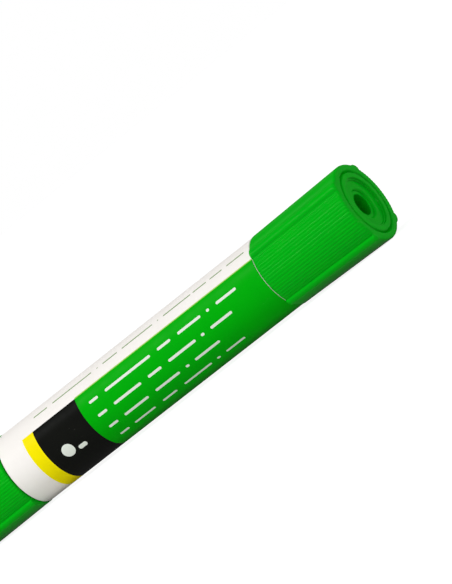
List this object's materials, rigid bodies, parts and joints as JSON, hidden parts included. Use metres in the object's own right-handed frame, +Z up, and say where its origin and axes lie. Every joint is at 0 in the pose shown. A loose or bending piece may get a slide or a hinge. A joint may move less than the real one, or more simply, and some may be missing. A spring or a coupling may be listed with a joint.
{
  "type": "glue stick",
  "caption": "Slim twist-up glue stick with a pull-off cap, printed label and ribbed green turning knob.",
  "frame": {"origin": "on the surface the stick lies on, below the middle of its length and width", "axes": "+X along the stick's axis towards the turning knob's free end, +Y towards one ribbed panel of the knob, +Z up, from one smooth side of the knob to the other"},
  "size_m": [0.1036, 0.015, 0.0144],
  "materials": {
    "barrel_plastic": "white moulded plastic, satin gloss",
    "label_print": "thin printed film, white with green, black and yellow fields",
    "green_plastic": "saturated green moulded plastic, satin gloss",
    "glue": "solid white adhesive, waxy"
  },
  "bodies": {
    "barrel": {"barrel": "barrel_plastic", "label": "label_print"},
    "knob": {"turn_knob": "green_plastic", "spindle": "green_plastic"},
    "carrier": {"glue_carrier": "barrel_plastic", "glue_stick": "glue"},
    "cap": {"cap": "green_plastic"}
  },
  "joints": [
    {"name": "knob_turn", "type": "hinge", "parent": "barrel", "child": "knob", "pos_m": [0, 0, 0.00721], "axis": [1, 0, 0], "range_deg": [0, 5580]},
    {"name": "carrier_slide", "type": "slide", "parent": "barrel", "child": "carrier", "axis": [-1, 0, 0], "range_m": [0, 0.062]},
    {"name": "cap_pull", "type": "slide", "parent": "carrier", "child": "cap", "axis": [-1, 0, 0], "range_m": [0, 0.03]}
  ],
  "couplings": [
    {"joint": "knob_turn", "follows": "carrier_slide", "rad_per_m": 1570.8}
  ]
}
